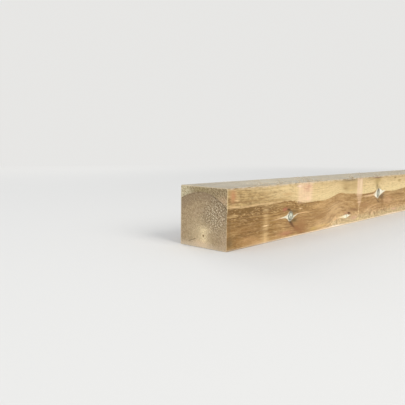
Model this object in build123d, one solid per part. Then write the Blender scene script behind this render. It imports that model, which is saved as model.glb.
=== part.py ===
from build123d import *
import math
import os

# A pine joist sawn from one stem: 100 x 100 mm, 2.4 m long, with the heart of the stem in it.
# Millimetres. +X runs along the joist from the near end to the far end, +Z is up, and the
# origin is the middle of the bottom face. The near end and the -Y side are the ones on show.

# Sawn stock
LENGTH = 2400.0
WIDTH = 100.0
DEPTH = 100.0
LONG_ARRIS_RADIUS = 1.5
END_ARRIS_BEVEL = 0.6

# Pith, the centre of the growth rings: a line that leans a little against the sawn faces
PITH_FROM_SHOW_SIDE = 49.0
PITH_FROM_BOTTOM = 19.5
PITH_LEAN_TO_SHOW_SIDE = 0.1  # degrees
PITH_LEAN_UP = 0.17  # degrees
PITH_PIT_DIAMETER = 2.4
PITH_PIT_DEPTH = 3.0

# Branches: they leave the pith in whorls, and are knots where the saw has cut them off
FIRST_WHORL = 169.0
WHORL_SPACING = 386.0
WHORL_END_MARGIN = 60.0
BRANCHES_IN_WHORL = 3
FIRST_BRANCH_ANGLE = 22.8
WHORL_TURN = 15.9
BRANCH_RISE_ANGLE = 15.0
KNOT_DIAMETERS = (16.0, 17.0, 9.0)

# A single twig between the first two whorls
TWIG_AT = 395.0
TWIG_ANGLE = -2.3
TWIG_DIAMETER = 6.0

# Shrinkage: the groove where the wood lets go of a knot, and the crack across the knot's heart
KNOT_GROOVE_WIDTH = 0.8
KNOT_GROOVE_DEPTH = 0.6
KNOT_CRACK_MARGIN = 1.2
KNOT_CRACK_WIDTH = 0.7
KNOT_CRACK_DEPTH = 3.0

# Drying check on the near end, on a ray from the pith that points down and away from the show side
END_CHECK_ANGLE = 20.0
END_CHECK_START = 17.0
END_CHECK_LENGTH = 17.7
END_CHECK_WIDTH = 0.6
END_CHECK_DEPTH = 8.0

# How far each cutting shape starts outside the wood
CUTTER_PROUD = 2.0


def sawn_blank():
    """The stick as it leaves the saw: a square prism with its long arrises eased and its ends bevelled."""
    stick = Pos(0, 0, DEPTH / 2) * Box(LENGTH, WIDTH, DEPTH)
    stick = fillet(stick.edges().filter_by(Axis.X), LONG_ARRIS_RADIUS)
    near_end, far_end = stick.faces().filter_by(Axis.X).sort_by(Axis.X)
    return chamfer(near_end.edges() + far_end.edges(), END_ARRIS_BEVEL)


def skin(thickness):
    """The outer layer of the stick, of that thickness, which keeps a cut to an even depth."""
    outside = Box(LENGTH + 2 * CUTTER_PROUD, WIDTH + 2 * CUTTER_PROUD, DEPTH + 2 * CUTTER_PROUD)
    core = Box(LENGTH - 2 * thickness, WIDTH - 2 * thickness, DEPTH - 2 * thickness)
    return Pos(0, 0, DEPTH / 2) * (outside - core)


def pith_at(along):
    """The point of the pith line at a distance along the joist from its near end."""
    towards_show_side = along * math.tan(math.radians(PITH_LEAN_TO_SHOW_SIDE))
    upwards = along * math.tan(math.radians(PITH_LEAN_UP))
    return Vector(
        along - LENGTH / 2,
        PITH_FROM_SHOW_SIDE - WIDTH / 2 - towards_show_side,
        PITH_FROM_BOTTOM + upwards,
    )


def branches():
    """Each branch as (distance along, angle round the pith, knot diameter); angle 0 faces the show side."""
    found = [(TWIG_AT, TWIG_ANGLE, TWIG_DIAMETER)]
    whorls = 1 + int((LENGTH - WHORL_END_MARGIN - FIRST_WHORL) / WHORL_SPACING)
    for whorl in range(whorls):
        along = FIRST_WHORL + whorl * WHORL_SPACING
        for branch in range(BRANCHES_IN_WHORL):
            angle = FIRST_BRANCH_ANGLE + whorl * WHORL_TURN + branch * 360 / BRANCHES_IN_WHORL
            diameter = KNOT_DIAMETERS[(whorl + branch) % len(KNOT_DIAMETERS)]
            found.append((along, angle, diameter))
    return found


def branch_direction(angle):
    """The way that a branch grows: outwards at its angle round the pith, and on towards the far end."""
    rise = math.radians(BRANCH_RISE_ANGLE)
    turn = math.radians(angle)
    return Vector(math.sin(rise), -math.cos(rise) * math.cos(turn), math.cos(rise) * math.sin(turn))


def reach_to_face(start, direction):
    """How far a branch grows from the pith before it reaches a sawn face."""
    side = math.copysign(WIDTH / 2, direction.Y) - start.Y
    top_or_bottom = (DEPTH if direction.Z > 0 else 0) - start.Z
    return 1 / max(direction.Y / side, direction.Z / top_or_bottom)


def crack(length, depth, width):
    """A crack as a thin slice with an arc for its floor: deepest midway, and closed at both tips."""
    tip = length / 2
    floor = ThreePointArc((-tip, 0), (0, -depth), (tip, 0))
    mouth = Polyline((tip, 0), (tip, CUTTER_PROUD), (-tip, CUTTER_PROUD), (-tip, 0))
    return extrude(Plane.XZ * make_face([floor, mouth]), width / 2, both=True)


def knot_cuts(along, angle, diameter):
    """What shrinkage opens at one knot: the groove around it, and the crack across its heart."""
    start = pith_at(along)
    direction = branch_direction(angle)
    reach = reach_to_face(start, direction)

    # A branch widens as it grows, so its cone has the knot's diameter where it meets the face
    height = reach + diameter
    knot_radius = diameter / 2 * height / reach
    groove_radius = (diameter / 2 + KNOT_GROOVE_WIDTH) * height / reach
    groove = Pos(0, 0, height / 2) * (Cone(0, groove_radius, height) - Cone(0, knot_radius, height))
    crack_length = diameter - 2 * KNOT_CRACK_MARGIN
    heart_crack = Pos(0, 0, reach) * crack(crack_length, KNOT_CRACK_DEPTH, KNOT_CRACK_WIDTH)

    # The crack runs across the joist, square to the grain
    growth = Plane(origin=start, x_dir=Vector(1, 0, 0).cross(direction), z_dir=direction)
    return [(growth * groove) & skin(KNOT_GROOVE_DEPTH), growth * heart_crack]


def pith_pit(along, outward):
    """The soft pith sunk below a sawn end, as a small cone that opens outwards."""
    height = PITH_PIT_DEPTH + CUTTER_PROUD
    mouth_radius = PITH_PIT_DIAMETER / 2 * height / PITH_PIT_DEPTH
    cone = Pos(0, 0, height / 2 - PITH_PIT_DEPTH) * Cone(0, mouth_radius, height)
    return Plane(origin=pith_at(along), z_dir=(outward, 0, 0)) * cone


def end_check():
    """The drying check on the near end, along a ray of the wood."""
    ray = math.radians(END_CHECK_ANGLE)
    radial = Vector(0, math.cos(ray), -math.sin(ray))
    middle = pith_at(0) + radial * (END_CHECK_START + END_CHECK_LENGTH / 2)
    opening = crack(END_CHECK_LENGTH, END_CHECK_DEPTH, END_CHECK_WIDTH)
    return Plane(origin=middle, x_dir=radial, z_dir=(-1, 0, 0)) * opening


def joist():
    """The finished joist, as one solid."""
    cuts = [pith_pit(0, -1), pith_pit(LENGTH, 1), end_check()]
    for branch in branches():
        cuts += knot_cuts(*branch)
    return sawn_blank() - cuts


os.makedirs("parts", exist_ok=True)
export_step(joist(), "parts/joist.step")
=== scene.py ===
import itertools
import math
from functools import partialmethod

import bpy
import numpy as np
from mathutils import Matrix, Vector


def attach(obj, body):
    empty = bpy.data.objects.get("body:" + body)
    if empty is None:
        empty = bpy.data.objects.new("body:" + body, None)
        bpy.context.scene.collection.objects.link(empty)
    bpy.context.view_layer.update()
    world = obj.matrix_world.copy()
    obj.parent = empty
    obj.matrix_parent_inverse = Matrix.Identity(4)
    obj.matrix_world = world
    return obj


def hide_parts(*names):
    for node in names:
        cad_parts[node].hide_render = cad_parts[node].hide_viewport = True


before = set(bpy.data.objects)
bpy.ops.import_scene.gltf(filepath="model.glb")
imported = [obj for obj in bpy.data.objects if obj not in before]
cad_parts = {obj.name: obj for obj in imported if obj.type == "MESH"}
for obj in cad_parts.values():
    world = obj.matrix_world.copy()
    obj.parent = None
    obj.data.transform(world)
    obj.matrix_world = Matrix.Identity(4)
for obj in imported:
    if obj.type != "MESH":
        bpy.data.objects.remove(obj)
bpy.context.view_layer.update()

# Looks of a rough-sawn pine joist. Distances are in millimetres where a name or a comment
# doesn't say otherwise: "along" runs from the near end, "across" is minus towards the show side,
# and "up" runs from the bottom face. The row frame is in metres, with the origin mid-length.

LENGTH = 2400.0
WIDTH = 100.0
DEPTH = 100.0
NEAR_END = -LENGTH / 2
METRES = 0.001

# The stem inside the joist, as in the solid. Whorls count from 0
PITH_ACROSS = -1.0
PITH_FROM_BOTTOM = 19.5
PITH_LEAN_ACROSS = -math.tan(math.radians(0.1))
PITH_LEAN_UP = math.tan(math.radians(0.17))
FIRST_WHORL = 169.0
WHORL_SPACING = 386.0
LAST_WHORL = 5
FIRST_BRANCH_ANGLE = math.radians(22.8)
WHORL_TURN = math.radians(15.9)
BRANCH_SPREAD = math.radians(120.0)
BRANCH_RISE = math.radians(15.0)
KNOT_DIAMETERS = (16.0, 17.0, 9.0)
TWIG_AT = 395.0
TWIG_ANGLE = math.radians(-2.3)
END_CHECK_ANGLE = math.radians(20.0)
HEARTWOOD_RADIUS = 68.0
RING_WIDTH = 3.1

# The surface: its arrises, its sawn faces, and the pit of the pith
ARRIS_RADIUS = 1.5
# How far each arris's radius wanders, slowly and quickly: bottom show, bottom back, top back, top show
ARRIS_WANDER = ((0.35, 0.2), (0.4, 0.2), (0.5, 0.3), (0.7, 0.55))
END_BEVEL = 0.6
FACE_WAVE = 0.12
FACE_RIPPLE = 0.06
END_RIDGE = 0.05
END_RIDGE_SPACING = 5.2
END_WAVE = 0.06
PIT_RADIUS = 1.2
PIT_DEPTH = 2.0

# Its mesh: cells round a side and an arris, outlines along the joist, and loops over a sawn end
SIDE_CELLS = 52
ARRIS_CELLS = 6
AROUND = 4 * (SIDE_CELLS + ARRIS_CELLS)
CLOSE_PITCH = 7.0
CLOSE_REACH = 820.0
MIDDLE_OUTLINES = 40
FAR_OUTLINES = 120
CAP_LOOPS = 37

# Its bake map, in pixels of a square sheet: each side is cut at mid-length into two strips, one
# above the other, and the two ends lie past them
SHEET = 1024.0
STRIP = 105.0
MARGIN = 3.0
END_SIZE = SHEET - 8 * STRIP - 2 * MARGIN

# Torn fibres: how far they may stand past the sides and above the top
FIBRE_PAST_SIDE = 9.0
FIBRE_ABOVE_TOP = 10.5

# What the show side gives at distances along it, up to this reach: the height of the heartwood's
# edge, how far the grain below it rises or dips, and how pale the heartwood is
CURVE_REACH = 800.0
EDGE_HEIGHTS = [
    (0, 67), (45, 66), (90, 66), (150, 66.5), (180, 66), (200, 63.5), (222, 61.5), (255, 60.5),
    (305, 60.5), (328, 62.8), (350, 66), (378, 70.8), (402, 67.8), (435, 65.3), (475, 62.5),
    (512, 61), (540, 60.4), (572, 60), (600, 60), (622, 60), (645, 59.6), (690, 60.2), (745, 63)]
LOW_GRAIN = [
    (0, 0), (130, -1), (190, -3), (240, -6), (275, -8), (305, -6), (322, -3), (336, 2), (350, 9),
    (366, 14), (384, 14), (404, 10), (430, 4), (455, 0), (480, -2), (505, -2), (540, 3), (575, 3),
    (620, 1), (700, -3)]
HEART_PALENESS = [
    (0, 0), (60, 0), (118, 0.14), (150, 0.3), (215, 0.26), (290, 0.42), (365, 0.58), (440, 0.42),
    (560, 0.46), (700, 0.46)]


# Shapes

def smooth_noise(seed, *coordinates):
    """Values from -1 to 1: a random value at each whole-number lattice point, and between the points a
    blend by a smoothstep on each axis."""
    coordinates = np.broadcast_arrays(*[np.asarray(c, float) for c in coordinates])
    cells = [np.floor(c).astype(np.int64) for c in coordinates]
    blends = [(c - n) ** 2 * (3 - 2 * (c - n)) for c, n in zip(coordinates, cells)]
    total = 0.0
    for corner in itertools.product((0, 1), repeat=len(cells)):
        # Mixes the seed and the lattice point's numbers into one whole number that looks random
        mixed = np.full(cells[0].shape, seed * 7919 + 17, np.int64)
        weight = 1.0
        for cell, blend, bit in zip(cells, blends, corner):
            mixed = ((mixed ^ (cell + bit)) * 668265263 + 374761393) & 0x7FFFFFFF
            mixed = mixed ^ (mixed >> 13)
            weight = weight * (blend if bit else 1 - blend)
        total = total + weight * ((mixed % 65521) / 32760.0 - 1)
    return total


def new_piece(name, points, faces, finish, uv=None):
    """A mesh object of that name from points in millimetres of the row frame and lists of face corners."""
    mesh = bpy.data.meshes.new(name)
    mesh.from_pydata((np.asarray(points) * METRES).tolist(), [], faces)
    mesh.polygons.foreach_set("use_smooth", np.ones(len(mesh.polygons), bool))
    if uv is not None:
        mesh.uv_layers.new(name="OFBake").data.foreach_set("uv", np.asarray(uv, np.float32).ravel())
    mesh.materials.append(finish)
    mesh.validate()
    piece = bpy.data.objects.new(name, mesh)
    bpy.context.scene.collection.objects.link(piece)
    return piece


def section_outline(along):
    """The joist's outline at each distance along, as (outlines, points, 2) of across and up, with its
    outward normals.

    Each point lies on a side or on an arris. A side runs straight from one arris to the next, and an
    arris is a quarter of a circle whose radius wanders along the joist, most on the torn top arris of
    the show side. The outline then sinks along its normals by a slow waviness of the sawn faces.
    """
    along = np.asarray(along, float)[:, None]
    radii = []
    for number, (slow, quick) in enumerate(ARRIS_WANDER):
        slow_wander = slow * smooth_noise(11 + number, along / 23.0, 0 * along)
        radii.append(ARRIS_RADIUS + slow_wander + quick * smooth_noise(21 + number, along / 6.5, 0 * along))
    # Which way each corner lies, in the order of the arrises
    signs = np.array([(-1, -1), (1, -1), (1, 1), (-1, 1)], float)

    def centre(corner):
        """The middle of an arris's circle, one radius in from both of its sides."""
        inset = WIDTH / 2 - radii[corner], DEPTH / 2 - radii[corner]
        return np.stack([signs[corner][0] * inset[0], DEPTH / 2 + signs[corner][1] * inset[1]], -1)

    points, normals = [], []
    for corner in range(4):
        following = (corner + 1) % 4
        # The quarter circle of this corner, from the side before it to the side after it
        start = math.pi / 2 * (corner + 2)
        turn = start + np.linspace(0, math.pi / 2, ARRIS_CELLS, endpoint=False)[None, :]
        normal = np.stack([np.cos(turn), np.sin(turn)], -1) * np.ones_like(along)[..., None]
        points.append(centre(corner) + radii[corner][..., None] * normal)
        normals.append(normal)
        # The straight side that follows it
        flat = (signs[corner] + signs[following]) / 2
        first, last = (centre(c) + radii[c][..., None] * flat for c in (corner, following))
        share = np.linspace(0, 1, SIDE_CELLS, endpoint=False)[None, :, None]
        points.append(first * (1 - share) + last * share)
        normals.append(np.broadcast_to(flat, points[-1].shape))
    points, normals = np.concatenate(points, 1), np.concatenate(normals, 1)
    around = np.arange(AROUND)[None, :] * 2 * math.pi / AROUND
    wave = smooth_noise(31, along / 160.0, 3 * np.cos(around), 3 * np.sin(around))
    ripple = smooth_noise(32, along / 24.0, 9 * np.cos(around), 9 * np.sin(around))
    sunk = FACE_WAVE * (1 + wave) + FACE_RIPPLE * (1 + ripple)
    return points - sunk[..., None] * normals, normals


def pith_at(along):
    """Across and up of the pith line at a distance along."""
    return np.array([PITH_ACROSS + along * PITH_LEAN_ACROSS, PITH_FROM_BOTTOM + along * PITH_LEAN_UP])


def end_relief(across_up, pith):
    """How far a sawn end lies below its plane: round ridges about the pith as a sine of the distance from
    it, shallow saw waves, and the pith's pit as a cone."""
    radius = np.linalg.norm(across_up - pith, axis=-1)
    ridges = END_RIDGE * (1 + np.sin(radius * 2 * math.pi / END_RIDGE_SPACING))
    waves = END_WAVE * (1 + smooth_noise(41, across_up[..., 0] / 9.0, across_up[..., 1] / 4.0))
    pit = PIT_DEPTH * np.clip(1 - radius / PIT_RADIUS, 0, 1)
    return ridges + waves + pit


def side_uv(row, step, along):
    """Bake map of the faces between outlines: along the joist to the right, and round it upwards.

    A side's strip runs from the middle of one arris to the middle of the next.
    """
    cells = SIDE_CELLS + ARRIS_CELLS
    shifted = (np.stack([step, step + 1, step + 1, step], -1) - ARRIS_CELLS // 2).astype(float)
    number = np.floor((step - ARRIS_CELLS // 2) / cells)
    share = (shifted - number[..., None] * cells) / cells
    corner = np.stack([along[row], along[row], along[row + 1], along[row + 1]], -1)
    half = (corner.mean(-1) > LENGTH / 2).astype(float)
    u = MARGIN + (corner - half[..., None] * LENGTH / 2) / (LENGTH / 2) * (SHEET - 2 * MARGIN)
    v = (number % 4 * 2 + half)[..., None] * STRIP + MARGIN + share * (STRIP - 2 * MARGIN)
    return np.stack([u, v], -1) / SHEET


def end_uv(points, corners, number):
    """Bake map of faces of a sawn end, laid flat. The near end is number 0 and the far end is number 1."""
    flat = (points[:, 1:] + (WIDTH / 2, 0))[corners]
    place = MARGIN + number * (END_SIZE + 2 * MARGIN), 8 * STRIP + MARGIN
    return (flat / WIDTH * END_SIZE + place) / SHEET


def joist_wood(finish):
    """The whole surface as one tube of closed outlines: from the pith of the near end outwards over the
    sawn end, along the four sides, and inwards over the far end to its pith.

    A loop over an end is its rim, drawn in towards the pith by a share that is close to even.
    """
    along = np.concatenate([
        np.arange(END_BEVEL, CLOSE_REACH, CLOSE_PITCH),
        np.linspace(CLOSE_REACH, LENGTH / 2, MIDDLE_OUTLINES),
        np.linspace(LENGTH / 2, LENGTH - END_BEVEL, FAR_OUTLINES)[1:],
    ])
    outlines, normals = section_outline(along)
    outwards = 1 - (1 - np.linspace(0, 1, CAP_LOOPS + 1)[1:]) ** 1.25
    fade = np.clip((1 - outwards) * 12, 0, 1)[:, None]
    caps, poles = [], []
    for end, inwards, last in ((0.0, 1, 0), (LENGTH, -1, -1)):
        pith = pith_at(end)
        rim = outlines[last] - END_BEVEL * normals[last]
        cap = pith + outwards[:, None, None] * (rim - pith)
        face = end + inwards * end_relief(cap, pith) * fade
        caps.append(np.concatenate([face[..., None], cap], -1))
        poles.append([end + inwards * PIT_DEPTH, *pith])
    side_along = np.broadcast_to(along[:, None, None], outlines.shape[:2] + (1,))
    tube = np.concatenate([caps[0], np.concatenate([side_along, outlines], -1), caps[1][::-1]])
    points = np.concatenate([tube.reshape(-1, 3), poles])
    points[:, 0] += NEAR_END

    rows = len(tube)
    row, step = np.meshgrid(np.arange(rows - 1), np.arange(AROUND), indexing="ij")
    after = (step + 1) % AROUND
    corners = (row, step), (row, after), (row + 1, after), (row + 1, step)
    quads = np.stack([r * AROUND + s for r, s in corners], -1)
    here = np.arange(AROUND)
    onward = (here + 1) % AROUND
    last_row = (rows - 1) * AROUND
    near_fan = np.stack([np.full(AROUND, rows * AROUND), onward, here], -1)
    far_fan = np.stack([np.full(AROUND, rows * AROUND + 1), last_row + here, last_row + onward], -1)
    faces = quads.reshape(-1, 4).tolist() + near_fan.tolist() + far_fan.tolist()

    uv = side_uv(row, step, np.concatenate([np.zeros(CAP_LOOPS), along, np.full(CAP_LOOPS, LENGTH)]))
    near_cap, far_cap = slice(CAP_LOOPS - 1), slice(rows - CAP_LOOPS, None)
    uv[near_cap] = end_uv(points, quads[near_cap], 0)
    uv[far_cap] = end_uv(points, quads[far_cap], 1)
    fans = [end_uv(points, near_fan, 0), end_uv(points, far_fan, 1)]
    uv = np.concatenate([part.reshape(-1, 2) for part in [uv] + fans])
    return new_piece("joist_wood", points, faces, finish, uv)


def splinters(finish):
    """Torn fibres on the arrises: each is a thin tapered sliver that leaves the wood at its foot, and bends
    by a parabola.

    A point of a sliver's middle is foot + length * (share * heading + share squared * sag). Its section
    has four corners, is flatter than it is wide, and thins to almost nothing at the tip.
    """
    random = np.random.default_rng(7)
    groups = []

    def group(count, low, high, corner, length, rise, lean, thick):
        """Slivers in clumps between two distances along, on the arris at a corner's signs of across and up.

        Length, rise and thickness are ranges, and lean is how far they head along the joist, where minus
        is towards the near end.
        """
        clumps = random.uniform(low, high, max(count // 5, 1))
        along = random.choice(clumps, count) + random.normal(0, min(9, high - low), count)
        reach = length[0] + (length[1] - length[0]) * random.random(count) ** 2
        heading = np.stack([
            random.normal(lean, 0.35, count),
            corner[0] * random.uniform(-0.3, 0.35, count),
            corner[1] * random.uniform(*rise, count),
        ], -1)
        heading /= np.linalg.norm(heading, axis=1)[:, None]
        foot = np.stack([
            np.clip(along, 4, LENGTH - 4),
            corner[0] * (WIDTH / 2 - random.uniform(0.5, 3.0, count)),
            DEPTH / 2 + corner[1] * (DEPTH / 2 - random.uniform(0.3, 0.9, count)),
        ], -1)
        groups.append((foot, heading, reach, random.uniform(*thick, count)))

    show_top, back_top = (-1, 1), (1, 1)
    for place in (96, 120, 150, 186, 215, 246, 300, 352, 425, 440, 500, 566, 575, 640, 700):
        group(3, place - 3, place + 3, show_top, (22, 50), (0.2, 0.5), -0.85, (0.6, 1.15))
    group(46, 60, 470, show_top, (12, 46), (0.15, 0.55), -0.8, (0.35, 0.8))
    group(40, 470, 1100, show_top, (10, 40), (0.1, 0.5), -0.8, (0.3, 0.7))
    group(50, 1100, 2390, show_top, (8, 32), (0.1, 0.5), -0.8, (0.3, 0.65))
    group(150, 20, 2390, show_top, (2, 9), (0.0, 0.9), -0.5, (0.2, 0.45))
    group(90, 20, 2390, back_top, (2, 12), (0.0, 0.6), -0.5, (0.2, 0.45))
    foot, heading, reach, thick = (np.concatenate(part) for part in zip(*groups))
    count = len(foot)
    rings, corners = 7, 4
    share = np.linspace(0, 1, rings)[None, :, None]
    sag = np.stack([np.zeros(count), random.normal(0, 0.12, count), random.uniform(-0.3, 0.1, count)], -1)
    middle = foot[:, None] + reach[:, None, None] * (share * heading[:, None] + share ** 2 * sag[:, None])
    middle[..., 1] = np.clip(middle[..., 1], -WIDTH / 2 - FIBRE_PAST_SIDE, WIDTH / 2 + FIBRE_PAST_SIDE)
    middle[..., 2] = np.minimum(middle[..., 2], DEPTH + FIBRE_ABOVE_TOP)
    side = np.cross(heading, [0.0, 0.0, 1.0])
    side /= np.linalg.norm(side, axis=1)[:, None]
    over = np.cross(side, heading)
    turn = (np.arange(corners) * math.pi / 2)[None, None, :, None]
    section = np.cos(turn) * side[:, None, None] + 0.6 * np.sin(turn) * over[:, None, None]
    half_width = thick[:, None, None] / 2 * (1 - share ** 1.5 * 0.93)
    points = (middle[:, :, None] + half_width[..., None] * section).reshape(-1, 3)
    points[:, 0] += NEAR_END
    number = np.arange(count * rings * corners).reshape(count, rings, corners)
    ahead = np.roll(number, -1, axis=2)
    walls = np.stack([number[:, :-1], number[:, 1:], ahead[:, 1:], ahead[:, :-1]], -1).reshape(-1, 4)
    faces = np.concatenate([walls, number[:, 0], number[:, -1, ::-1]])

    # Bake map: each sliver unrolled in a cell of its own, with a spot at each end for its foot and tip
    columns = 4
    lines = math.ceil(count / columns)
    cell_u = (np.arange(count) % columns)[:, None, None, None]
    cell_v = (np.arange(count) // columns)[:, None, None, None]
    ring = np.arange(rings - 1)[None, :, None, None] + np.array([0, 1, 1, 0])
    wall = np.arange(corners)[None, None, :, None] + np.array([0, 0, 1, 1])
    u = (cell_u + 0.04 + 0.92 * ring / (rings - 1)) / columns
    v = (cell_v + 0.15 + 0.7 * wall / corners) / lines
    uv = [np.stack(np.broadcast_arrays(u, v), -1).reshape(-1, 2)]
    spot = np.array([(0.0, 0.0), (0.01, 0.0), (0.01, 0.01), (0.0, 0.01)])
    for end in (0.04, 0.95):
        place = np.stack([(cell_u + end).ravel(), (cell_v + 0.15).ravel()], -1)
        uv.append(((place[:, None] + spot) / (columns, lines)).reshape(-1, 2))
    return new_piece("torn_fibres", points, faces.tolist(), finish, np.concatenate(uv))


# Finishes

def paint(red, green, blue):
    """A colour as it looks, 0 to 255 a channel, as the linear colour that a shader takes."""
    channels = [c / 255 for c in (red, green, blue)]
    return tuple(c / 12.92 if c <= 0.04045 else ((c + 0.055) / 1.055) ** 2.4 for c in channels) + (1.0,)


class Reading:
    """A number or a colour that varies over a surface. Arithmetic on a number adds the Math nodes."""

    def __init__(self, finish, socket):
        self.finish = finish
        self.socket = socket

    def math(self, operation, *others, first=None):
        values = (self if first is None else first,) + others
        return self.finish.node("ShaderNodeMath", {"operation": operation}, dict(enumerate(values)))

    __add__ = __radd__ = partialmethod(math, "ADD")
    __sub__ = partialmethod(math, "SUBTRACT")
    __mul__ = __rmul__ = partialmethod(math, "MULTIPLY")
    __truediv__ = partialmethod(math, "DIVIDE")
    __pow__ = partialmethod(math, "POWER")
    __mod__ = partialmethod(math, "FLOORED_MODULO")
    __abs__ = partialmethod(math, "ABSOLUTE")
    __neg__ = partialmethod(math, "MULTIPLY", -1.0)
    floor = partialmethod(math, "FLOOR")
    sqrt = partialmethod(math, "SQRT")
    exp = partialmethod(math, "EXPONENT")
    sin = partialmethod(math, "SINE")
    cos = partialmethod(math, "COSINE")
    least = partialmethod(math, "MINIMUM")
    most = partialmethod(math, "MAXIMUM")

    def __rsub__(self, other):
        return self.math("SUBTRACT", self, first=other)

    def __rtruediv__(self, other):
        return self.math("DIVIDE", self, first=other)

    def between(self, start, end):
        """0 at the start and 1 at the end, on a smooth ramp, and held outside them. The start may be the
        higher of the two."""
        return self.finish.node(
            "ShaderNodeMapRange", {"interpolation_type": "SMOOTHSTEP"},
            {"Value": self, "From Min": start, "From Max": end},
        )

    def coat(self, share, colour):
        """This colour with another laid over it by a share."""
        return self.finish.mix(share, self, colour)


class Finish:
    """A material on one Principled shader, built up from nodes."""

    def __init__(self, name, **constants):
        self.material = bpy.data.materials.new(name)
        self.material.use_nodes = True
        self.tree = self.material.node_tree
        self.tree.nodes.clear()
        self.shader = self.tree.nodes.new("ShaderNodeBsdfPrincipled")
        self.surface = self.tree.nodes.new("ShaderNodeOutputMaterial").inputs[0]
        self.tree.links.new(self.shader.outputs[0], self.surface)
        for socket, value in constants.items():
            self.shader.inputs[socket.replace("_", " ")].default_value = value

    def node(self, kind, settings, values, output=0):
        """Adds a node: its settings first, then a value or a link for each named or numbered socket."""
        added = self.tree.nodes.new(kind)
        for setting, value in settings.items():
            if setting == "stops":
                self.set_stops(added.color_ramp.elements, value)
            elif setting == "interpolation":
                added.color_ramp.interpolation = value
            else:
                setattr(added, setting, value)
        for socket, value in values.items():
            if isinstance(value, Reading):
                self.tree.links.new(value.socket, added.inputs[socket])
            else:
                added.inputs[socket].default_value = value
        return Reading(self, added.outputs[output])

    @staticmethod
    def set_stops(elements, stops):
        """Gives a ramp its stops, from a list of (position, colour)."""
        while len(elements) < len(stops):
            elements.new(1.0)
        for element, (position, colour) in zip(elements, stops):
            element.position = position
            element.color = colour

    def place(self):
        """Along, across and up of the point, in millimetres."""
        position = self.node("ShaderNodeTexCoord", {}, {}, "Object")
        axes = [self.node("ShaderNodeSeparateXYZ", {}, {0: position}, axis) for axis in "XYZ"]
        x, y, z = (axis * 1000.0 for axis in axes)
        return x - NEAR_END, y, z

    def vector(self, x, y, z=0.0):
        return self.node("ShaderNodeCombineXYZ", {}, {0: x, 1: y, 2: z})

    def noise(self, x, y, z=0.0, detail=2.0, rough=0.5):
        """Soft noise from 0 to 1, about half on average, one lump per unit."""
        return self.node(
            "ShaderNodeTexNoise", {"noise_dimensions": "3D"},
            {"Vector": self.vector(x, y, z), "Scale": 1.0, "Detail": detail, "Roughness": rough},
        )

    def dice(self, x, y=0.0):
        """A random number from 0 to 1 for each whole x and y."""
        place = {"Vector": self.vector(x, y)}
        return self.node("ShaderNodeTexWhiteNoise", {"noise_dimensions": "3D"}, place)

    def curve(self, along, heights, low, high):
        """A smooth curve through (along, height) pairs between low and high, held past its last pair."""
        stops = [(a / CURVE_REACH, ((h - low) / (high - low),) * 3 + (1.0,)) for a, h in heights]
        ramp = {"interpolation": "CARDINAL", "stops": stops}
        return self.node("ShaderNodeValToRGB", ramp, {0: along / CURVE_REACH}) * (high - low) + low

    def mix(self, share, base, over):
        """One colour into another by a share. Each is a Reading, or its red, green and blue as it looks."""
        base, over = (c if isinstance(c, Reading) else paint(*c) for c in (base, over))
        return self.node("ShaderNodeMix", {"data_type": "RGBA"}, {0: share, 6: base, 7: over}, 2)

    def feed(self, socket, value):
        self.tree.links.new(value.socket, self.shader.inputs[socket])

    def bump(self, height):
        """A height in millimetres as relief."""
        values = {"Height": height, "Distance": METRES, "Strength": 1.0}
        self.feed("Normal", self.node("ShaderNodeBump", {}, values))


def blot(f, plane, at, size):
    """1 in the middle of a soft oval patch of a plane, falling away to 0 as exp(-distance squared), with
    the distance in half-sizes."""
    place = f.node("ShaderNodeVectorMath", {"operation": "MULTIPLY_ADD"}, {
        0: plane, 1: (1 / size[0], 1 / size[1], 0.0), 2: (-at[0] / size[0], -at[1] / size[1], 0.0)})
    squared = f.node("ShaderNodeVectorMath", {"operation": "DOT_PRODUCT"}, {0: place, 1: place}, "Value")
    return squared.math("POWER", squared, first=1 / math.e)


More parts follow.
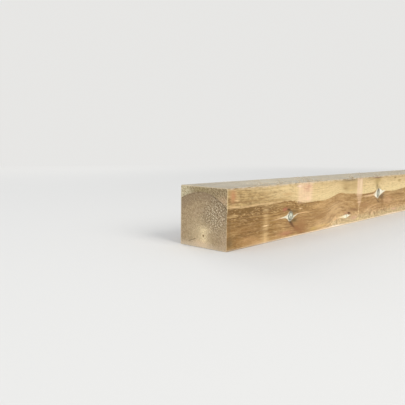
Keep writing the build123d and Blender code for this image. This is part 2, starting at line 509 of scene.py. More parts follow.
class Stem:
    """How a point of the joist lies in the stem, as readings.

    end, side, show, top and bottom are 1 on those faces. dy and dz are its place about the pith, across
    and up. u and v are its place about the nearest branch, along the stem and across it, square to the
    branch, and rho is how far out that is. tu, tv and t_rho are the same for the twig.
    """

    def __init__(self, f):
        self.f = f
        self.along, self.across, self.up = f.place()
        from_end = self.along.least(LENGTH - self.along)
        self.end = from_end.between(0.75, 0.35)
        self.side = 1 - self.end
        self.show = (-self.across).between(47.6, 49.3) * self.side
        self.top = self.up.between(98.4, 99.6) * self.side
        self.bottom = self.up.between(1.6, 0.4) * self.side
        self.dy, self.dz = self.about_pith(self.along)
        self.radius = (self.dy * self.dy + self.dz * self.dz).sqrt()
        self.find_branch()
        self.find_twig()
        self.draw_rings()
        self.draw_fibre()

    def about_pith(self, at):
        """Across and up from the pith, as its line is at a distance along."""
        across = self.across - at * PITH_LEAN_ACROSS - PITH_ACROSS
        up = self.up - at * PITH_LEAN_UP - PITH_FROM_BOTTOM
        return across, up

    def find_branch(self):
        """The nearest branch of the nearest whorl, its diameter at the face, and the place about it."""
        whorl = ((self.along - FIRST_WHORL) / WHORL_SPACING + 0.5).floor().most(0.0).least(LAST_WHORL)
        at = whorl * WHORL_SPACING + FIRST_WHORL
        y, z = self.about_pith(at)
        turn = z.math("ARCTAN2", -y) - FIRST_BRANCH_ANGLE - whorl * WHORL_TURN
        sector = (turn / BRANCH_SPREAD + 0.5).floor()
        off = turn - sector * BRANCH_SPREAD
        first, second, third = KNOT_DIAMETERS
        number = (whorl + sector) % 3.0
        diameter = first + (1 - abs(number - 1)).most(0.0) * (second - first)
        diameter = diameter + (number - 1).most(0.0) * (third - first)
        away = (y * y + z * z).sqrt()
        u = (self.along - at) * math.cos(BRANCH_RISE) - away * off.cos() * math.sin(BRANCH_RISE)
        v = away * off.sin()
        self.whorl, self.sector, self.diameter, self.knot_edge = whorl, sector, diameter, diameter / 2
        self.luck = self.f.dice(whorl, sector % 3.0)
        self.u, self.v, self.rho = u, v, (u * u + v * v).sqrt()

    def find_twig(self):
        """The place about the single twig."""
        y, z = self.about_pith(TWIG_AT)
        out = z * math.sin(TWIG_ANGLE) - y * math.cos(TWIG_ANGLE)
        u = (self.along - TWIG_AT) * math.cos(BRANCH_RISE) - out * math.sin(BRANCH_RISE)
        v = z * math.cos(TWIG_ANGLE) + y * math.sin(TWIG_ANGLE)
        self.twig_side = out.between(0, 20) * self.side
        self.tu, self.tv, self.t_rho = u, v, (u * u + v * v).sqrt()

    def grain_lift(self):
        """How far the grain is shifted upwards: as read on the show side, and a slow random wave
        elsewhere."""
        f, along, across, up = self.f, self.along, self.across, self.up
        nominal = []
        for at, height in EDGE_HEIGHTS:
            pith_across, pith_up = pith_at(at)
            rise = math.sqrt(HEARTWOOD_RADIUS ** 2 - (WIDTH / 2 + pith_across) ** 2)
            nominal.append((at, height - pith_up - rise))
        edge = f.curve(along, nominal, -15.0, 15.0)
        low = f.curve(along, LOW_GRAIN, -15.0, 15.0)
        read = low + (edge - low) * up.between(24, 62)
        wave = (f.noise(along / 150.0, across / 50.0, up / 50.0) - 0.5) * 18.0 * along.between(10, 300)
        share = (-self.dy).between(12, 44) * along.between(850, 730)
        return wave * (1 - share) + read * share

    def draw_rings(self):
        """Growth rings: they bulge out round a branch, part to let it through, and curl over small buried
        ones. Each pales from a sharp inner edge and darkens to its late wood."""
        f, along, across, up, dy = self.f, self.along, self.across, self.up, self.dy
        u, v, tu, tv, diameter = self.u, self.v, self.tu, self.tv, self.diameter
        flat_z = self.dz - self.grain_lift()
        heart_edge = dy.between(-34, -2) * 3.4 + (dy.most(0.0) / 50.0) ** 2.0 * 5.4 + HEARTWOOD_RADIUS
        stretch = HEARTWOOD_RADIUS / heart_edge
        plane = f.vector(along, up)
        bell = (-(u * u) / (diameter * diameter * 3.5) - (v * v) / (diameter * diameter * 1.4)).exp()
        t_bell = (-(tu * tu) / 420.0 - (tv * tv) / 90.0).exp() * self.twig_side
        curl = blot(f, plane, (540, 13), (15, 10)) * 9.0 + blot(f, plane, (603, 16), (17, 8)) * 7.0
        curl = curl + blot(f, plane, (352, 8), (20, 18)) * 9.0
        far_curl = f.noise(along / 55.0, across / 22.0, up / 22.0, 1.0).between(0.62, 0.82)
        far_curl = far_curl * along.between(760, 900) * 5.0
        shake = f.noise(along / 60.0, across / 18.0, up / 18.0, 3.0) * 3.6 - 1.8
        bulge = bell * diameter * 0.32 + t_bell * 3.0 + curl * self.show + far_curl * self.side
        even_radius = (dy * dy + flat_z * flat_z).sqrt() * stretch
        self.ring_radius = even_radius - bulge + shake * (1 - self.end * 0.6)
        parted = v / (abs(v) + self.knot_edge) * bell * diameter * 0.5 + tv / (abs(tv) + 3.0) * t_bell * 3.0
        self.gy = dy * stretch
        self.gz = flat_z * stretch - parted

        ring = self.ring_radius / RING_WIDTH
        ring_share = ring % 1.0
        weight = f.dice(ring.floor()) * 0.8 + 0.2
        self.late = ring_share.between(0.3, 0.9) * ring_share.between(1.0, 0.93) * weight
        frayed = along.between(80, 120) * along.between(240, 205) * 7.0 + 2.0
        fray = (f.noise(along / 6.0, across / 2.2, up / 2.2) - 0.5) * frayed
        self.heart = (self.ring_radius + fray).between(68.7, 67.4)

    def fibre(self, length, thick, detail=2.0, rough=0.5, slant=0.0):
        """Noise drawn out along the grain, or at a slant to it."""
        gz = self.gz + self.along * slant if slant else self.gz
        return self.f.noise(self.along / length, self.gy / thick, gz / thick, detail, rough)

    def draw_fibre(self):
        """Fibre: long streaks, the fuzz that a coarse saw leaves, lumps, bands and fine hairs."""
        self.streak = self.fibre(62.0, 2.8, 3.0, 0.6)
        self.fuzz = self.fibre(14.0, 2.1, 3.0, 0.68)
        self.lump = self.fibre(15.0, 4.2, 2.0, 0.6)
        self.band = self.fibre(36.0, 4.6, 2.0, 0.6)
        self.fine = self.fibre(24.0, 0.8, 2.0, 0.6)
        self.cloud = self.fibre(120.0, 30.0, 3.0)
        self.dark_streak = self.streak.between(0.45, 0.67)
        self.pale_streak = self.streak.between(0.53, 0.31)
        self.dull = (self.along + (self.cloud - 0.5) * 120.0 + (self.up - 74.0) * 2.6).between(225, 60)


def sapwood(f, stem):
    """Pale yellow wood, dull and more marked at the near end."""
    along, up, fuzz, dull = stem.along, stem.up, stem.fuzz, stem.dull
    return (
        f.mix(dull, (226, 200, 148), (174, 145, 94))
        .coat(stem.dark_streak * (dull * 0.4 + 0.2), (150, 118, 72))
        .coat(fuzz.between(0.5, 0.34) * (dull * 0.5 + 0.14), (138, 108, 66))
        .coat(fuzz.between(0.5, 0.66) * dull * 0.5, (214, 184, 128))
        .coat(up.between(86, 62) * along.between(240, 340) * 0.45, (242, 224, 168))
        # Darker towards the top arris: some dirt, and painted shade
        .coat(up.between(80, 98) * (along.between(240, 420) * 0.25 + 0.2), (170, 142, 98))
        .coat(stem.pale_streak * 0.25, (236, 212, 162))
        .coat(stem.late * 0.24, (172, 138, 90))
    )


def heartwood(f, stem):
    """Brown wood, darkest by its edge and paler towards the pith."""
    along, up, show, lump, band = stem.along, stem.up, stem.show, stem.lump, stem.band
    inside = stem.ring_radius.between(68.0, 49.0) * 0.22
    foot = along.between(200, 340) * (1 - along.between(420, 500) * 0.8) * 0.2 + 0.17
    foot = foot * up.between(30, 4) * show
    tone = f.curve(along, HEART_PALENESS, 0.0, 1.0) + inside + foot - 0.1 + (stem.cloud - 0.5) * 0.6
    stops = (0.0, (127, 93, 41)), (0.3, (157, 120, 61)), (0.6, (187, 149, 96)), (1.0, (227, 193, 146))
    stops = [(position, paint(*colour)) for position, colour in stops]
    near = along.between(300, 180)
    curled = up.between(36, 22) * along.between(470, 520) * 0.36 * show
    banded = along.between(190, 280) * 0.4
    return (
        f.node("ShaderNodeValToRGB", {"interpolation": "LINEAR", "stops": stops}, {0: tone})
        .coat(stem.dark_streak * (near * 0.26 + 0.28), (118, 82, 42))
        .coat(stem.pale_streak * 0.34, (214, 178, 126))
        .coat(stem.late * (near * 0.1 + 0.3 + foot + curled), (112, 78, 42))
        .coat(lump.between(0.5, 0.74) * 0.42, (138, 98, 54))
        .coat(lump.between(0.5, 0.26) * 0.3, (222, 186, 134))
        .coat(band.between(0.5, 0.66) * banded, (138, 100, 56))
        .coat(band.between(0.5, 0.34) * banded, (220, 184, 134))
    )


def sawn_grain(f, stem, colour):
    """The sawn surface over the wood's colour: the heartwood's edge, pale outside and dark inside, then
    fuzz, torn flecks and pits, and curls by the bottom arris."""
    along, up, fuzz, ring_radius = stem.along, stem.up, stem.fuzz, stem.ring_radius
    pale_edge = ring_radius.between(67.8, 69.0) * ring_radius.between(71.6, 69.8)
    dark_edge = ring_radius.between(58.0, 66.0) * ring_radius.between(68.4, 67.2)
    coarse = (1.1 - along.between(80, 130) * 0.1 - along.between(120, 420) * 0.2) * (stem.heart * 0.3 + 0.7)
    fleck = stem.fibre(8.0, 1.1, 1.0, slant=0.12).between(0.68, 0.8)
    pit = stem.fibre(8.0, 2.1, 1.0, slant=0.12)
    by_edge = abs(ring_radius - 62.5).between(6.5, 2.5) * (1 - along.between(250, 330) * 0.6)
    by_edge = by_edge * (along.between(100, 140) * 0.5 + 0.5)
    gritty = by_edge * 0.55 + along.between(130, 70) * 0.2
    curly = f.noise(along / 8.0, stem.across / 5.0, up / 4.6, 2.0, 0.6)
    low_curl = up.between(32, 16) * along.between(318, 350) * stem.side
    return (
        colour
        .coat(pale_edge * (stem.dull * 0.5 + 0.12), (224, 190, 140))
        .coat(dark_edge * (stem.dull - 0.25).most(0.0) * 0.45, (104, 76, 32))
        .coat(fuzz.between(0.49, 0.29) * coarse * 0.48, (92, 66, 30))
        .coat(fuzz.between(0.54, 0.74) * coarse * 0.38, (232, 198, 144))
        .coat(stem.fine.between(0.5, 0.8) * 0.3, (112, 84, 50))
        .coat(fleck * coarse * (by_edge * 0.7 + 0.08), (228, 196, 142))
        .coat(pit.between(0.46, 0.32) * gritty, (92, 67, 32))
        .coat(pit.between(0.57, 0.69) * gritty, (220, 186, 130))
        .coat(curly.between(0.5, 0.7) * low_curl * 0.6, (136, 98, 58))
        .coat(curly.between(0.5, 0.3) * low_curl * 0.54, (240, 206, 160))
    )


def knots(f, stem, colour):
    """The branches over the wood's colour: a resinous halo that thins to a tail along the grain, a painted
    highlight round the knot's rim, the knot, the groove round it and the crack across it with painted shade
    in them, and a painted shadow beside the knot. Returns the colour, the resinous halo with the painted
    rim highlight, and how deep it all lies."""
    along, side, fuzz, twig_side = stem.along, stem.side, stem.fuzz, stem.twig_side
    diameter, knot_edge, whorl, luck = stem.diameter, stem.knot_edge, stem.whorl, stem.luck
    u, v, rho, tu, t_rho = stem.u, stem.v, stem.rho, stem.tu, stem.t_rho
    # The second whorl's knot on the show side has a plumper halo than the others
    second = (1 - abs(whorl - 1)).most(0.0)
    plump = second * (u.between(-2.0, 12.0) * 0.26 + 0.26) + luck * 0.1 + 0.56
    droop = (1 - second) * abs(u).between(24.0, 5.0) * (u.between(-6.0, 6.0) * 3.0 + 1.0)
    tail = v - u * (second * 0.02 + 0.05) - 0.2 + second * 0.5 + droop
    thin = ((1 - second) * (u.between(-4.0, 8.0) * 0.34 + 0.16)).most(second * u.between(3.0, 13.0) * 0.2)
    height = diameter * 0.47 / (1 + (abs(u) / (diameter * plump)) ** 3.2) + 1.1 - second * 0.4
    height = height * (1 - thin)
    ragged = (fuzz - 0.5) * 0.5 + 1.0
    halo = (abs(tail) / ragged).between(height * 1.1, height * 0.75)
    halo = halo * abs(u).between(diameter * 4.9, diameter * 2.0) * side
    halo = halo * (1 - (1 - second) * u.between(3.0, 16.0) * 0.3) * (1 - second * u.between(40.0, 48.0))
    t_height = 3.0 / (1 + (abs(tu) / 9.0) ** 2.4) + tu.between(2.0, -12.0) * 1.2 + 0.5
    t_tail = stem.tv - 0.2 - tu * 0.02
    t_halo = (abs(t_tail) / ragged).between(t_height * 1.25, t_height * 0.7) * twig_side
    t_halo = t_halo * tu.between(27.0, 17.0) * tu.between(-72.0, -36.0)
    # Painted highlight: a pale rim just outside the knot, brighter on one side as if lit
    lit_rim = rho.between(knot_edge + 2.6, knot_edge + 0.6) * (0.55 - (v + u * 0.6) / (rho + 1.0) * 0.5)
    resin_and_lit_rim = halo.most(t_halo).most(lit_rim * side)
    near_knot = abs(u - second * 9.0).between(diameter * 2.5, diameter)
    near_knot = near_knot.most(abs(tu + 4.0).between(30.0, 10.0) * twig_side)
    halo_colour = f.mix(fuzz.between(0.35, 0.65) + second * 0.4, (208, 204, 176), (255, 252, 232))
    halo_colour = f.mix(near_knot, (230, 192, 142), halo_colour)
    flank = rho.between(knot_edge + 9.0, knot_edge + 2.0) * (1 - resin_and_lit_rim) * side

    # The knot itself: grey and pale where the photograph shows it, and mostly brown elsewhere
    knot = rho.between(knot_edge + 0.2, knot_edge - 1.0) * side
    patchy = f.noise(u / 5.0, v / 5.0, whorl * 7.0 + stem.sector, 2.0)
    ring_of_knot = rho.between(knot_edge * 0.42, knot_edge * 0.72) * (0.85 - u * 0.045).least(1.0)
    knot_rim = f.mix(patchy.between(0.4, 0.6), (92, 108, 104), (108, 98, 78))
    brown_knot = f.mix(rho.between(knot_edge * 0.5, knot_edge), (164, 118, 70), (104, 70, 38))
    unseen = 1 - along.between(700, 640) * stem.show
    knot_colour = (
        f.mix(second, (216, 222, 202), (172, 176, 158))
        .coat(patchy.between(0.46, 0.66), (158, 152, 130))
        .coat(ring_of_knot * (0.95 - second * 0.45), knot_rim)
        .coat(v.between(-1.0, 6.0) * second * 0.8, (98, 84, 72))
        .coat(unseen * (luck * 0.5 + 0.5), brown_knot)
    )

    # Groove, crack and the twig's groove, as wide as in the solid, darkened with painted shade
    groove = rho.between(knot_edge - 0.1, knot_edge + 0.1) * rho.between(knot_edge + 0.9, knot_edge + 0.7)
    groove = groove * f.noise(u / 3.0, v / 3.0, whorl, 1.0).between(0.42, 0.56) * side
    t_groove = t_rho.between(2.9, 3.1) * t_rho.between(3.9, 3.7) * twig_side
    crack = abs(u).between(0.45, 0.25) * abs(v).between(knot_edge - 1.2, knot_edge - 1.6) * side
    shadow = blot(f, f.vector(u, v), (14, -8), (10, 3.5)) * side * (1 - resin_and_lit_rim)
    colour = (
        colour
        .coat(resin_and_lit_rim * (near_knot * 0.34 + 0.56), halo_colour)
        .coat(flank * 0.34, (128, 98, 56))
        .coat(knot * 0.92, knot_colour)
        .coat(t_rho.between(3.1, 2.2) * twig_side * 0.6, (196, 190, 152))
        # Painted shade in the grooves and the crack
        .coat(groove.most(t_groove) * 0.45, (74, 62, 46))
        .coat(crack * 0.5, (92, 80, 62))
        .coat(shadow * 0.55, (96, 70, 40))
    )
    return colour, resin_and_lit_rim, groove * 0.6 + t_groove * 0.5 + crack * 1.2 - knot * 0.15


def end_check(stem):
    """1 in the drying check of the near end, which lies on a ray from the pith."""
    out = stem.dy * math.cos(END_CHECK_ANGLE) - stem.dz * math.sin(END_CHECK_ANGLE)
    off = stem.dy * math.sin(END_CHECK_ANGLE) + stem.dz * math.cos(END_CHECK_ANGLE)
    open_part = out.between(16.0, 19.0) * out.between(35.5, 31.0)
    return abs(off).between(0.6, 0.2) * open_part * stem.along.between(500, 400)


def sawn_end(f, stem, check):
    """The colour of the sawn ends: sap, taupe heartwood, cream about the pith, and a rough patch by the
    show side."""
    across, up, dy, dz, ring_radius = stem.across, stem.up, stem.dy, stem.dz, stem.ring_radius
    face = f.vector(across, up)
    from_pith = f.vector(dy, dz)
    mottle = f.noise(across / 6.0, up / 6.0, stem.along / 40.0, 4.0, 0.72)
    strokes = f.noise((across + up) / 7.0, (across - up) / 2.6, 4.0, 3.0, 0.7)
    speck = f.noise(across / 2.4 + up / 5.0, up / 2.4 - across / 5.0, 7.0, 1.0, 0.6)
    blush = f.noise(across / 26.0, up / 26.0, 2.0, 2.0)

    # Cream heart: a wide glow, and a bright irregular core under and over the pith
    wide = (-((dy - 6.0) * (dy - 6.0)) / 620.0 - ((dz - 4.0) * (dz - 4.0)) / 760.0).exp()
    core = blot(f, from_pith, (-1, -4), (7, 11)) + blot(f, from_pith, (-3, 10), (11, 5)) * 0.7
    core = core * (mottle.between(0.3, 0.55) * 0.9 + 0.3)
    heart = (
        f.mix(mottle.between(0.34, 0.66), (156, 130, 94), (186, 161, 124))
        .coat(blush.between(0.45, 0.7) * 0.4, (186, 154, 126))
        .coat(wide * 0.74, (212, 189, 148))
        .coat(blot(f, from_pith, (4, -13), (17, 9)) * 0.45, (238, 214, 168))
        .coat(core.least(0.95), (252, 228, 180))
        .coat(blot(f, from_pith, (6, -14), (14, 6)) * 0.7, (234, 198, 160))
        .coat(blot(f, face, (-6, 54), (9, 14)) * 0.5, (142, 119, 88))
        .coat(blot(f, face, (-46, 16), (9, 18)) * 0.5, (206, 178, 146))
        .coat(stem.late * 0.3, (122, 100, 74))
    )

    # Sapwood outside: cream lumps at the back, olive in the middle, brown and streaked by the show side
    lumps = f.noise(across / 5.5, up / 4.5, 9.0, 3.0, 0.7).between(0.4, 0.58)
    sap = (
        f.mix(strokes.between(0.38, 0.62), (128, 108, 72), (172, 150, 112))
        .coat(abs(dy - 4.0).between(20.0, 8.0) * 0.7, (154, 136, 94))
        .coat(dy.between(14, 42) * (lumps * 0.75 + 0.25), (214, 202, 166))
        .coat(blot(f, face, (-43, 79), (12, 7)) * 0.9, (196, 162, 124))
    )
    outside = (ring_radius + (mottle - 0.5) * 2.0).between(67.4, 68.6)
    taupe = ring_radius.between(50.0, 61.0) * (1 - outside)
    scorched = abs(ring_radius - 67.2).between(1.8, 0.6) * (-dy).between(8.0, 24.0)
    rough = blot(f, face, (-27, 55), (23, 23))
    # The end's rim, where a painted highlight goes
    rim = up.between(2.6, 0.8).most(up.between(97.6, 99.2)).most(across.between(47.0, 49.0))
    return (
        f.mix(outside, heart, sap)
        .coat(taupe * 0.66, (138, 116, 86))
        .coat(scorched * 0.5, (88, 66, 40))
        .coat(ring_radius.between(65.4, 67.0) * (1 - outside) * 0.35, (108, 90, 66))
        # The rough patch, brush strokes everywhere, and pale and dark specks, most in the patch
        .coat(rough * 0.4, (140, 124, 94))
        .coat(strokes.between(0.5, 0.34) * 0.34, (104, 86, 60))
        .coat(strokes.between(0.5, 0.66) * 0.3, (214, 196, 164))
        .coat(speck.between(0.52, 0.66) * (rough * 0.84 + 0.14), (240, 222, 192))
        .coat(speck.between(0.48, 0.34) * (rough * 0.72 + 0.14), (84, 66, 42))
        # A paler foot, a painted highlight along the rim, the pith, and the check with painted shade in it
        .coat(up.between(13.0, 1.0) * (across.between(-34, -10) * 0.3 + 0.32), (224, 204, 176))
        .coat(rim * 0.6, (224, 208, 180))
        .coat(stem.radius.between(1.9, 0.8) * 0.85, (84, 62, 38))
        # Painted shade in the check
        .coat(check * 0.6, (112, 92, 56))
    )


# Patches of colour on the show side: middle, half-length and half-height, slope, colour, and how strong
PATCHES = [
    # Crayon and bark at the near end
    ((15, 86), (7, 11), 0, (184, 130, 88), 0.75),
    ((26, 79), (5, 1.6), 0, (226, 190, 140), 0.7),
    ((7, 12), (9, 8), 0, (106, 82, 44), 0.75),
    ((6, 38), (4, 20), 0, (116, 88, 48), 0.5),
    ((50, 76), (45, 1), 0, (136, 102, 60), 0.6),
    ((22, 56), (8, 1), -0.1, (226, 192, 136), 0.6),
    ((50, 62), (26, 3.4), 0, (126, 96, 46), 0.5),
    ((84, 4), (32, 4), 0, (218, 178, 128), 0.6),
    ((60, 12), (30, 6), 0, (196, 152, 100), 0.5),
    ((50, 30), (42, 6), 0, (140, 100, 52), 0.5),
    ((150, 63), (28, 3.6), 0, (186, 152, 96), 0.35),
    ((148, 72), (30, 2.6), 0, (176, 144, 92), 0.5),
    ((172, 80.5), (16, 3.5), 0, (186, 148, 98), 0.5),
    # About the first knot
    ((165, 53.5), (7.5, 3.2), 0.1, (172, 108, 80), 0.9),
    ((177, 52.3), (5.5, 2), -0.15, (88, 60, 32), 1.3),
    # Painted shadow below the first knot: a dark swoosh and a brown band under it
    ((186, 26.5), (6, 4), -0.5, (96, 66, 32), 1.2),
    ((206, 15), (22, 5.5), -0.4, (142, 94, 54), 0.8),
    ((222, 18), (18, 17), 0, (154, 110, 66), 0.7),
    ((195, 31), (9, 3), 0, (108, 86, 46), 0.85),
    ((197, 47.5), (11, 3.2), 0, (116, 92, 50), 0.8),
    ((170, 10), (22, 4.5), 0, (184, 126, 94), 0.6),
    ((218, 51), (6, 1.1), 0, (240, 204, 154), 0.9),
    ((230, 42.4), (22, 0.9), -0.02, (230, 188, 136), 0.8),
    ((191, 22), (7, 1.8), -0.6, (104, 70, 36), 0.9),
    ((183.5, 28.5), (4, 2), -0.4, (84, 62, 34), 0.9),
    # Between the knots
    ((287, 31), (46, 6), 0, (156, 118, 72), 0.5),
    ((290, 52), (42, 6), 0.08, (206, 166, 112), 0.5),
    ((268, 7), (14, 3.6), 0, (198, 166, 96), 0.7),
    ((305, 10), (24, 2.2), 0, (224, 188, 122), 0.6),
    ((375, 64), (30, 5), 0, (206, 170, 118), 0.3),
    ((446, 30), (34, 4), -0.03, (140, 104, 66), 0.7),
    ((468, 45), (8, 1.5), 0, (234, 198, 158), 0.75),
    ((466.5, 24), (3.5, 1.6), 0, (238, 206, 162), 0.75),
    ((500, 36), (30, 7), 0, (162, 118, 76), 0.5),
    # Pink on the sapwood, and a tan smudge beyond it
    ((243, 68), (5, 4), 0, (252, 206, 172), 0.7),
    ((241, 86), (7, 1.1), 0.2, (158, 112, 84), 0.9),
    ((212, 93), (8, 1.6), 0, (255, 224, 208), 0.8),
    ((402, 84), (21, 14), -0.2, (182, 154, 104), 0.8),
    ((399, 79), (11, 2), -0.1, (160, 132, 84), 0.7),
    ((426, 73.5), (12, 1.3), 0, (230, 198, 134), 0.7),
    ((428, 85.5), (15, 1.5), 0.1, (158, 132, 84), 0.6),
    ((440, 84), (22, 15), 0, (184, 156, 106), 0.75),
    ((420, 96.5), (34, 3), 0, (124, 106, 74), 0.9),
    ((363.5, 11), (3, 8), 0, (166, 136, 96), 0.6),
    ((464, 8), (7, 2.6), 0, (226, 206, 146), 0.8),
    # About the twig
    ((419, 24.6), (8.5, 2.1), -0.12, (104, 68, 46), 1.2),
    ((404, 26), (6, 1.4), 0, (192, 140, 116), 0.8),
    ((445, 12), (16, 4), 0, (208, 164, 138), 0.7),
    ((402.5, 17.5), (5, 2.4), -0.3, (255, 255, 222), 0.9),
    ((384, 19), (15, 1.7), 0, (244, 220, 166), 0.9),
    ((358, 17), (12, 1.6), 0.1, (224, 178, 128), 0.6),
    # About the second knot
    ((563.5, 77), (6, 7), 0, (140, 120, 76), 0.8),
    ((562, 86), (10, 6), 0, (172, 148, 94), 0.6),
    ((567, 92), (20, 7), 0, (178, 152, 98), 0.9),
    ((564, 96.6), (27, 1.7), 0, (112, 74, 44), 1.2),
    ((595, 52), (13, 3.6), 0.2, (104, 84, 62), 1.1),
    ((580, 41), (14, 9), 0, (134, 100, 54), 0.6),
    ((597, 38), (10, 10), 0, (132, 97, 54), 0.7),
    ((570, 18), (5, 20), 0, (158, 120, 80), 0.5),
    ((592, 46.5), (12, 1.7), 0.15, (110, 84, 46), 0.9),
    ((573, 39), (8, 1.8), -0.35, (114, 84, 46), 0.9),
    ((584, 43), (4, 1.3), 0, (206, 168, 112), 0.7),
    ((611, 39.5), (5, 2.2), 0, (214, 176, 128), 0.6),
    ((542, 30.5), (24, 1.4), 0.1, (218, 178, 130), 0.7),
    ((553, 18.5), (7, 1.6), 0.2, (224, 188, 142), 0.7),
    ((601, 19), (7, 1.5), -0.2, (226, 188, 142), 0.7),
    ((612, 15), (8, 1.6), -0.4, (150, 112, 70), 0.7),
    ((534, 21), (6, 1.6), 0.4, (146, 108, 62), 0.7),
    ((640, 64.5), (26, 3), 0, (240, 214, 160), 0.5),
    ((528, 14), (5, 5), 0.4, (140, 104, 64), 0.7),
    ((555, 12), (6, 3), -0.5, (146, 108, 68), 0.7),
    ((541, 14), (7, 5), 0, (232, 196, 152), 0.6),
    ((516, 60), (26, 1.3), 0, (132, 98, 56), 0.7),
    ((516, 56.4), (28, 1.5), 0.02, (234, 196, 154), 0.75),
    ((516, 22), (20, 5), 0, (228, 196, 152), 0.4),
    ((650, 56), (50, 4), 0, (196, 162, 112), 0.5),
    ((632, 40), (24, 10), 0, (196, 148, 106), 0.4),
    ((673, 93), (7, 1.6), -0.05, (146, 116, 66), 1),
    ((703, 85), (11, 2.2), 0, (162, 136, 78), 0.9),
    ((675, 13), (16, 2.8), 0, (222, 180, 150), 0.7),
    # Painted highlight: bright lines along the bottom arris
    ((356, 2.6), (30, 1.5), 0, (255, 244, 228), 0.8),
    ((655, 2.8), (50, 1.3), 0, (255, 236, 214), 0.6),
]


def marked(f, stem, colour):
    """The marks on the show side, over its colour: patches, a pale band across it, pink chalk, and torn
    arrises."""
    along, up, show, fuzz = stem.along, stem.up, stem.show, stem.fuzz
    broken = f.noise(along / 16.0, up / 3.0, 4.0, 3.0, 0.65)
    uneven = (fuzz * 0.8 + 0.7) * show
    ragged_along = along + (fuzz - 0.5) * 6.0
    ragged_up = up + (broken - 0.5) * 3.0
    # The foot of the side is paler and yellower past the first knot
    wash = up.between(22.0, 9.0) * along.between(320, 360) * show
    colour = colour.coat(wash * 0.24, (228, 224, 180))
    for at, size, tilt, tone, share in PATCHES:
        plane = f.vector(ragged_along, ragged_up if tilt == 0 else ragged_up - ragged_along * tilt)
        spread = blot(f, plane, (at[0], at[1] - at[0] * tilt), size)
        colour = colour.coat(spread * uneven * share, tone)
    plane = f.vector(ragged_along, ragged_up)

    # A pale upright band across the side, with brighter torn bars in it
    pale_band = (-((along - 105.0) * (along - 105.0)) / 64.0).exp() * (1 - up.between(56, 96) * 0.8)
    bars = f.noise(along / 30.0, up / 2.4, 2.0, 2.0, 0.6).between(0.35, 0.6)
    torn_bar = abs(up - 30.5).between(1.8, 0.4) + abs(up - 58.0).between(1.2, 0.4) * 0.4
    # Pink chalk over the sapwood, and a wedge of it that narrows downwards to a pale line
    chalk = along.between(200, 216) * along.between(266, 252) * up.between(58, 66)
    chalk = chalk * (broken * 0.5 + 0.7).least(1.0)
    scrawl = blot(f, plane, (240, 90), (15, 9)) * (broken.between(0.44, 0.58) * 0.8 + 0.2)
    half = (up - 33.0).most(0.0).least(28.0) * 0.42 + 2.0
    wedge = (abs(along - 469.5) / half).between(1.25, 0.7) * up.between(30, 40)
    wedge = wedge * (broken * 0.8 + 0.5).least(1.0)
    line = abs(along - 467.0).between(4.4, 0.8) * up.between(42, 34) * broken.between(0.42, 0.56)
    # Fibre torn up and bleached along the top arris with dirt and painted shade there, and painted
    # highlights on the bottom arris and the upright arris
    torn = up.between(94.5, 98.4) * broken.between(0.4, 0.6)
    # Dirt and painted shade just under the top arris
    dirt_and_shade = up.between(93.0, 98.0) * broken.between(0.5, 0.34)
    # Painted highlight: a bright line along the bottom arris
    low = up.between(4.0, 1.2) * (along.between(60, 200) * 0.6 + 0.3) * (broken * 0.8 + 0.6).least(1.0)
    bottom_highlight_face = (-stem.across).between(47.6, 48.6) * along.between(LENGTH / 2 + 60, LENGTH / 2)
    # Painted highlight: a bright line on the upright arris at the near end
    upright = along.between(3.2, 1.0) * up.between(56, 66)
    return (
        colour
        .coat(pale_band * show * (bars * 0.34 + 0.16 + up.between(30, 6) * 0.3), (222, 188, 134))
        .coat(pale_band * show * torn_bar * 0.9, (248, 214, 162))
        .coat(chalk * show * 0.55, (244, 210, 176))
        .coat(scrawl * show * 0.85, (198, 142, 116))
        .coat(wedge * show * (up.between(56, 66) * 0.36 + 0.3), (234, 200, 170))
        .coat(blot(f, plane, (474, 82), (3.5, 14)) * show * 0.5, (244, 226, 188))
        .coat(line * show * 0.7, (228, 200, 148))
        .coat(torn * show * 0.75, (206, 189, 165))
        .coat(dirt_and_shade * show * 0.64, (122, 102, 74))
        .coat(low * bottom_highlight_face, (252, 234, 208))
        .coat(upright * show * 0.6, (226, 204, 160))
    )


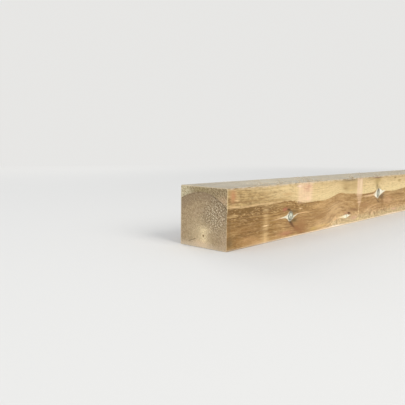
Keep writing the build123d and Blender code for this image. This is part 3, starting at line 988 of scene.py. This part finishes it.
def sawn_pine():
    """Solid wood: growth rings about a leaning pith, heartwood and sapwood, and branches cut off as knots.

    The saw only cuts through it, so the sides, the ends and the arrises show one pattern.
    """
    f = Finish("sawn_pine", Roughness=0.8)
    stem = Stem(f)
    along, across, up, side, top = stem.along, stem.across, stem.up, stem.side, stem.top
    colour = f.mix(stem.heart, sapwood(f, stem), heartwood(f, stem))
    colour, resin_and_lit_rim, sunk = knots(f, stem, sawn_grain(f, stem, colour))
    colour = marked(f, stem, colour)
    check = end_check(stem)
    dust_and_sky_sheen = f.noise(along / 60.0, across / 14.0, 5.0, 4.0, 0.65)
    saw_lines = ((along + (stem.cloud - 0.5) * 8.0) * (2 * math.pi / 4.3)).sin()
    saw_wide = f.noise(along / 3.5, across / 60.0, up / 60.0, 1.0)
    colour = (
        colour
        .coat(stem.end, sawn_end(f, stem, check))
        # Weather, handling and painted light: a grey top, partly dust and partly a painted reflection of
        # the sky, and a duller bottom
        .coat(top * (0.68 + (dust_and_sky_sheen - 0.5) * 1.2), (184, 181, 170))
        .coat(top * (stem.dark_streak * 0.5 + stem.fuzz.between(0.5, 0.3) * 0.3), (122, 112, 96))
        .coat(stem.bottom * 0.35, (140, 124, 98))
        # Saw marks across the faces
        .coat(saw_wide.between(0.3, 0.8) * (side - top) * 0.1, (120, 92, 58))
    )
    f.feed("Base Color", colour)
    f.feed("Roughness", 0.86 - resin_and_lit_rim * 0.18 - stem.late * 0.06)
    relief = stem.late * 0.12 + stem.fine * 0.16 + stem.fuzz * 0.3 + stem.streak * 0.14
    relief = relief + saw_lines * 0.03 + saw_wide * 0.05
    end_rough = f.noise(across / 3.0, up / 3.0, 7.0, 3.0, 0.7)
    relief = relief * side + stem.end * (end_rough * 0.7 + stem.late * 0.1)
    f.bump(relief - sunk - check * stem.end * 1.5)
    return f.material


def torn_wood():
    """Torn fibre: pale wood, and bleached where it is drier."""
    f = Finish("torn_wood", Roughness=0.85)
    along, across, up = f.place()
    strand = f.noise(along / 18.0, across / 3.0, up / 3.0, 2.0)
    f.feed("Base Color", f.mix(strand.between(0.35, 0.65), (196, 172, 132), (232, 222, 200)))
    return f.material


# Studio

BACKDROP = (0.80, 0.795, 0.78, 1.0)
FLOOR = (0.74, 0.735, 0.72, 1.0)
PHOTO_WIDTH = 405


def studio_floor():
    """A flat pale disc of closed rings, that fades into the backdrop's colour far from the joist."""
    spokes = 96
    radii = np.array([2000.0, 5000.0, 12000.0, 40000.0, 160000.0])
    turn = np.linspace(0, 2 * math.pi, spokes, endpoint=False)
    flat = np.zeros((len(radii), spokes))
    points = np.stack([np.outer(radii, np.cos(turn)), np.outer(radii, np.sin(turn)), flat], -1)
    number = np.arange(len(radii) * spokes).reshape(len(radii), spokes)
    ahead = np.roll(number, -1, axis=1)
    rings = np.stack([number[:-1], number[1:], ahead[1:], ahead[:-1]], -1).reshape(-1, 4)
    f = Finish("studio_floor", Roughness=0.9, Base_Color=FLOOR)
    glow = f.node("ShaderNodeEmission", {}, {"Color": BACKDROP, "Strength": 1.0})
    along, across, _ = f.place()
    x = along - LENGTH / 2
    far = (x * x + across * across).sqrt().between(1300.0, 3300.0)
    blend = f.node("ShaderNodeMixShader", {}, {0: far, 1: Reading(f, f.shader.outputs[0]), 2: glow})
    f.tree.links.new(blend.socket, f.surface)
    faces = rings.tolist() + [number[0].tolist()]
    floor = new_piece("studio_floor", points.reshape(-1, 3), faces, f.material)


def studio_light():
    """Even light from all round, a wide soft lamp on the show side, and weaker ones on the near end and the
    back. The camera, glossy and transmitted rays see the backdrop in place of that light."""
    world = bpy.data.worlds.new("studio")
    bpy.context.scene.world = world
    world.use_nodes = True
    tree = world.node_tree
    tree.nodes.clear()
    path = tree.nodes.new("ShaderNodeLightPath")
    seen = path.outputs["Is Camera Ray"]
    for ray in ("Is Glossy Ray", "Is Transmission Ray"):
        either = tree.nodes.new("ShaderNodeMath")
        either.operation = "MAXIMUM"
        tree.links.new(seen, either.inputs[0])
        tree.links.new(path.outputs[ray], either.inputs[1])
        seen = either.outputs[0]
    blend = tree.nodes.new("ShaderNodeMixShader")
    tree.links.new(seen, blend.inputs[0])
    for socket, colour, strength in ((1, (0.93, 0.96, 1.0, 1.0), 0.62), (2, BACKDROP, 1.0)):
        shade = tree.nodes.new("ShaderNodeBackground")
        shade.inputs[0].default_value = colour
        shade.inputs[1].default_value = strength
        tree.links.new(shade.outputs[0], blend.inputs[socket])
    output = tree.nodes.new("ShaderNodeOutputWorld")
    tree.links.new(blend.outputs[0], output.inputs[0])
    lamp("key", (-1.4, -3.4, 2.3), (-0.7, 0.0, 0.05), 2.2, 105.0, (1.0, 0.965, 0.91))
    lamp("fill", (-4.2, 0.6, 1.9), (-1.2, 0.0, 0.05), 2.0, 28.0, (0.95, 0.97, 1.0))
    lamp("back", (0.8, 4.4, 2.3), (0.1, 0.0, 0.05), 2.2, 60.0, (1.0, 0.98, 0.95))


def lamp(name, place, target, size, watts, colour):
    """A square soft lamp of that size, in metres, that faces its target."""
    light = bpy.data.lights.new(name, "AREA")
    light.size = size
    light.energy = watts
    light.color = colour
    holder = bpy.data.objects.new(name, light)
    holder.location = place
    holder.rotation_euler = (Vector(target) - Vector(place)).to_track_quat("-Z", "Y").to_euler()
    bpy.context.scene.collection.objects.link(holder)


def photo_camera():
    """The photograph's camera: its place in metres, its yaw, pitch and roll, and its focal length in pixels
    of the photograph."""
    place = Vector((-1.78676, -0.52746, 0.16116))
    yaw, pitch, roll, focal = 0.733106, -0.110040, 0.012579, 495.09
    ahead = Vector((math.cos(pitch) * math.cos(yaw), math.cos(pitch) * math.sin(yaw), math.sin(pitch)))
    level_right = ahead.cross(Vector((0, 0, 1))).normalized()
    level_up = level_right.cross(ahead)
    right = level_right * math.cos(roll) + level_up * math.sin(roll)
    top = level_up * math.cos(roll) - level_right * math.sin(roll)
    data = bpy.data.cameras.new("camera")
    data.sensor_width = 36.0
    data.lens = focal / PHOTO_WIDTH * data.sensor_width
    data.clip_start, data.clip_end = 0.02, 400.0
    camera = bpy.data.objects.new("camera", data)
    camera.matrix_world = Matrix((
        (right.x, top.x, -ahead.x, place.x),
        (right.y, top.y, -ahead.y, place.y),
        (right.z, top.z, -ahead.z, place.z),
        (0, 0, 0, 1),
    ))
    bpy.context.scene.collection.objects.link(camera)
    bpy.context.scene.camera = camera


wood = joist_wood(sawn_pine())
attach(wood, "root")
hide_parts("joist")
fibres = splinters(torn_wood())
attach(fibres, "root")

studio_floor()
studio_light()
photo_camera()
bpy.context.scene.view_settings.view_transform = "Standard"
